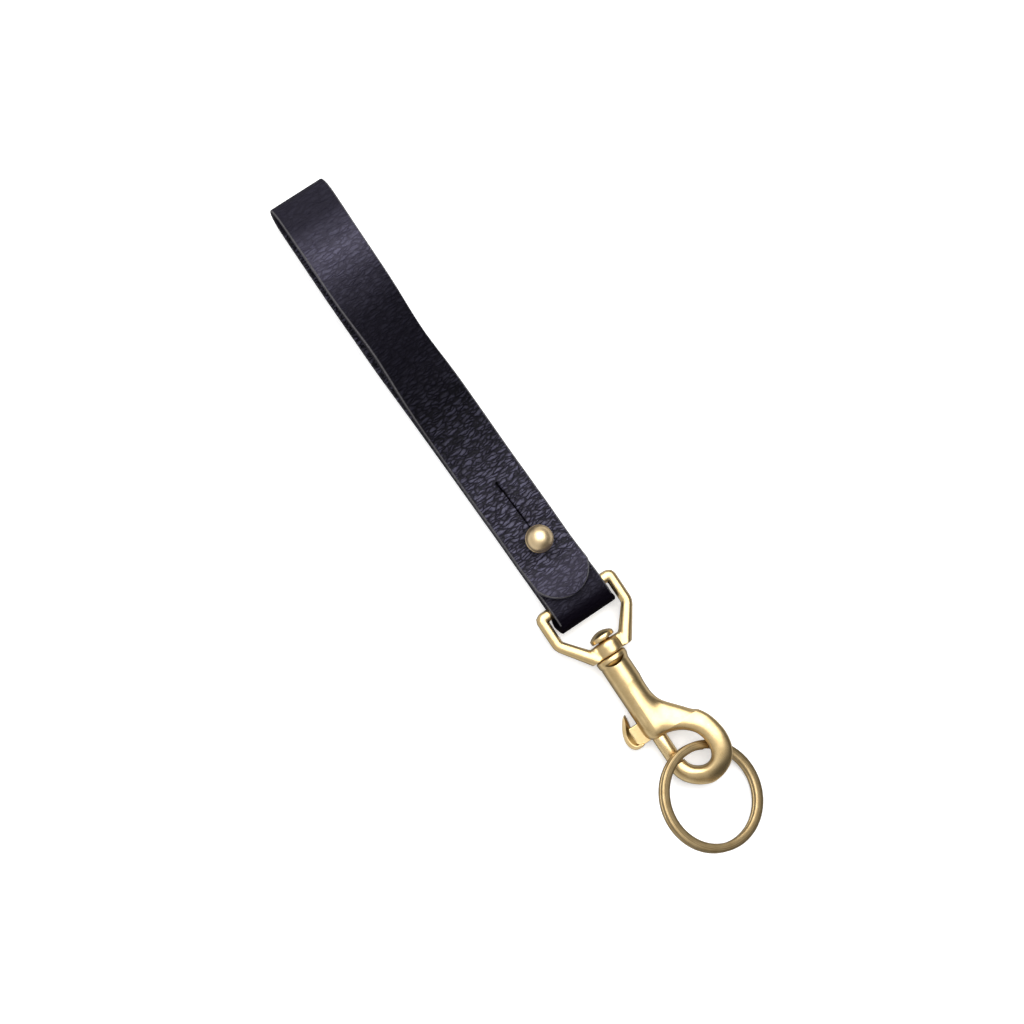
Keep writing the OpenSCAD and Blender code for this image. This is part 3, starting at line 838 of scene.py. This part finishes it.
def thumb_knob():
    outer = [(68.8, -7.7), (69.2, -8.6), (70.9, -9.9), (73.2, -11.2), (75.6, -11.85),
             (77.6, -11.75), (79.2, -10.9), (79.9, -9.4), (79.8, -7.6), (79.0, -7.3)]
    # the side towards the barrel is ridged along its middle
    ridge = np.array(outer + [
        (78.7, -8.2), (76.6, -8.6), (74.6, -8.55), (72.6, -8.15), (70.5, -7.75)])
    rim = np.array(outer + [
        (78.3, -9.5), (76.6, -10.35), (74.6, -10.25), (72.6, -9.35), (70.6, -8.3)])
    half_t, edge_r = 1.98, 0.3
    rings = []
    for a in np.linspace(-math.pi / 2, math.pi / 2, 17):
        z = math.sin(a)
        to_rim = np.interp(abs(z), [0, 0.45, 1], [0, 0.06, 1])
        outline = catmull(ridge + (rim - ridge) * to_rim, 10, True)
        along = np.roll(outline, 1, 0) - np.roll(outline, -1, 0)
        along /= np.linalg.norm(along, axis=1)[:, None]
        inward = np.stack([along[:, 1], -along[:, 0]], 1)
        if (inward * (outline - outline.mean(0))).sum() > 0:
            inward = -inward
        ring = outline + inward * (edge_r * (1 - math.cos(a) ** 0.5))
        rings.append([(x, y, half_t * z) for x, y in ring])
    plate = make("plate", *skin(rings), IN_SNAP)
    taper = [(-8.9, -1.24), (-4.5, -0.55), (-4.5, 0.55), (-8.9, 1.24)]
    neck = make("neck", *skin([[(x, y, z) for y, z in taper] for x in (73.0, 79.5)]), IN_SNAP)
    ob = fuse("thumb_knob_lever", [plate, neck], 0.09, 4)

    # painted shade on the plate's face towards the barrel, off its ridge
    def plate_face_shade(v, n):
        x, y, z = v
        faces_barrel = ease((n[1] - 0.15) / 0.35) * ease((-8.3 - y) / 0.5)
        off_ridge = ease((np.abs(z) - 0.7) / 0.5)
        return faces_barrel * off_ridge * (1 - 0.6 * ease((72.5 - x) / 1.5))

    paint_shade(ob, plate_face_shade, IN_SNAP)
    finish_piece(ob, "slide_bolt", ["thumb_knob"], CAST)


thumb_knob()


def spring():
    turns, x0, x1, rad = 7, 58.35, 70.7, 1.9
    coil = [(x0 + (x1 - x0) * k / turns,
             rad * math.cos(2 * math.pi * k), rad * math.sin(2 * math.pi * k))
            for k in np.linspace(0, turns, turns * 40 + 1)]
    ob = make("bolt_return_spring", *tube(coil, [0.2] * len(coil), 12, up=(1, 0, 0)), IN_BORE)
    finish_piece(ob, "snap", ["bolt_spring"], STEEL)
    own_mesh(ob)


spring()


# ---------------------------------------------------------------- key ring
def split_ring():
    wire_at, ring_r = 16.1, 17.5
    turn_t = 1.61                             # thickness of one turn
    half_w, half_t = 1.4, turn_t / 2
    bottom, clear = -1.65, 0.08               # of the lower turn, and between the two
    centre = RING_HI.x - ring_r, 0, (RING_LO.z + RING_HI.z) / 2
    place = Matrix.Translation(centre) @ Matrix.Rotation(TILT, 4, "X")
    # degrees: where the wire changes turn, over how much, and the gap at its ends
    jog, span, gap = 122.0, 28.0, 1.2
    angles = np.concatenate([
        np.arange(jog + span + gap, jog + 360, 2.0), np.arange(jog + 360, jog + 360 + span, 1.0),
        np.arange(jog + 360 + span, jog + 720 - gap + 0.01, 2.0)])
    section = [(half_w * p, half_t * q) for p, q in zip(*super_ring(44, 3.4))]
    rings = []
    for a in angles:
        z = bottom + half_t + (turn_t + clear) * float(ease((a - jog - 360) / span))
        r = math.radians(a)
        rings.append([((wire_at + s) * math.cos(r), (wire_at + s) * math.sin(r), z + q)
                      for s, q in section])
    ob = make("split_ring_wire", *skin(rings), place)
    ob.data.set_sharp_from_angle(angle=math.radians(50))
    paint(ob, "across", np.tile([p + 10 * q for p, q in section], len(rings)))
    finish_piece(ob, "ring", ["split_ring"], RING)


split_ring()

# the stud's screw is shown as the CAD made it
screw = frame["nodes"]["stud_screw"].data.materials
if screw:
    for i in range(len(screw)):
        screw[i] = POLISHED
else:
    screw.append(POLISHED)


# ---------------------------------------------------------------- floor, light, camera
def floor():
    half = 3.0
    me = bpy.data.meshes.new("floor")
    me.from_pydata([(-half, -half, 0), (half, -half, 0), (half, half, 0), (-half, half, 0)],
                   [], [(0, 1, 2, 3)])
    ob = place_object("floor", me)
    m, nt, b = nodes_for("pale_floor")
    put(nt, b.inputs["Base Color"], (0.9, 0.9, 0.9, 1))
    put(nt, b.inputs["Emission Color"], (1, 1, 1, 1))
    put(nt, b.inputs["Emission Strength"], 0.3)
    put(nt, b.inputs["Roughness"], 0.9)
    put(nt, b.inputs["Specular IOR Level"], 0.1)
    me.materials.append(m)
    ob.location.z = -0.0002          # level with the thumb knob's lowest corner
    ob.visible_glossy = False


floor()


def key_light():
    lamp = bpy.data.lights.new("key", "AREA")
    lamp.shape = "RECTANGLE"
    lamp.size = lamp.size_y = 1.15
    lamp.energy = 13.0
    ob = place_object("key", lamp)
    ob.location = (-0.30, 0.17, 0.78)
    ob.rotation_euler = (-ob.location).to_track_quat("-Z", "Y").to_euler()


key_light()

# the photo is taken from a little off the vertical, with the keychain turned in the picture
LEAN = math.radians(7)
TURN = math.radians(56.4)


def studio():
    """A bright room whose side to the right of the picture is darker, seen as plain white."""
    world = bpy.data.worlds.new("studio")
    bpy.context.scene.world = world
    world.use_nodes = True
    nt = world.node_tree
    around = add(nt, "TexCoord").outputs["Generated"]
    rightward = add(nt, "VectorMath", operation="DOT_PRODUCT")
    put(nt, rightward.inputs[0], around)
    put(nt, rightward.inputs[1], (math.cos(TURN), math.sin(TURN), 0))
    side = remap(nt, rightward.outputs["Value"], -0.2, 0.35, 0.0, 1.0)
    up = add(nt, "SeparateXYZ", Vector=around).outputs["Z"]
    height = remap(nt, up, -1.0, 1.0, 0.0, 1.0)
    near = ramp(nt, height, [(h, grey(v)) for h, v in (
        (0.0, 0.10), (0.16, 0.35), (0.40, 1.0), (0.5, 0.52), (0.62, 0.60), (0.95, 0.75))])
    far = ramp(nt, height, [(h, grey(v)) for h, v in (
        (0.0, 0.10), (0.16, 0.35), (0.38, 0.95), (0.47, 0.07), (0.56, 0.22), (0.61, 0.05),
        (0.78, 0.09), (0.95, 0.75))])
    room = blend(nt, side, near, far)
    camera_ray = add(nt, "LightPath").outputs["Is Camera Ray"]
    background = nt.nodes["Background"]
    put(nt, background.inputs["Color"], blend(nt, camera_ray, room, (0.93, 0.93, 0.93, 1)))
    put(nt, background.inputs["Strength"], 1.0)
    bpy.context.scene.view_settings.view_transform = "Standard"


studio()


def camera():
    back = Vector((0, -math.sin(LEAN), math.cos(LEAN)))
    away = Vector((0, math.cos(LEAN), math.sin(LEAN)))
    right = Vector((math.cos(TURN), 0, 0)) + away * math.sin(TURN)
    up = Vector((-math.sin(TURN), 0, 0)) + away * math.cos(TURN)
    aim = Vector((-3.0, -2.3, 5.0)) * MM
    dist = 0.747
    cam = bpy.data.cameras.new("camera")
    cam.lens = 85
    cam.sensor_width = 36
    cam.clip_start = 0.01
    cam.clip_end = 20
    cam.dof.use_dof = False
    ob = place_object("camera", cam)
    rows = [(right[i], up[i], back[i], aim[i] + back[i] * dist) for i in range(3)]
    ob.matrix_world = Matrix(rows + [(0, 0, 0, 1)])
    bpy.context.scene.camera = ob


camera()
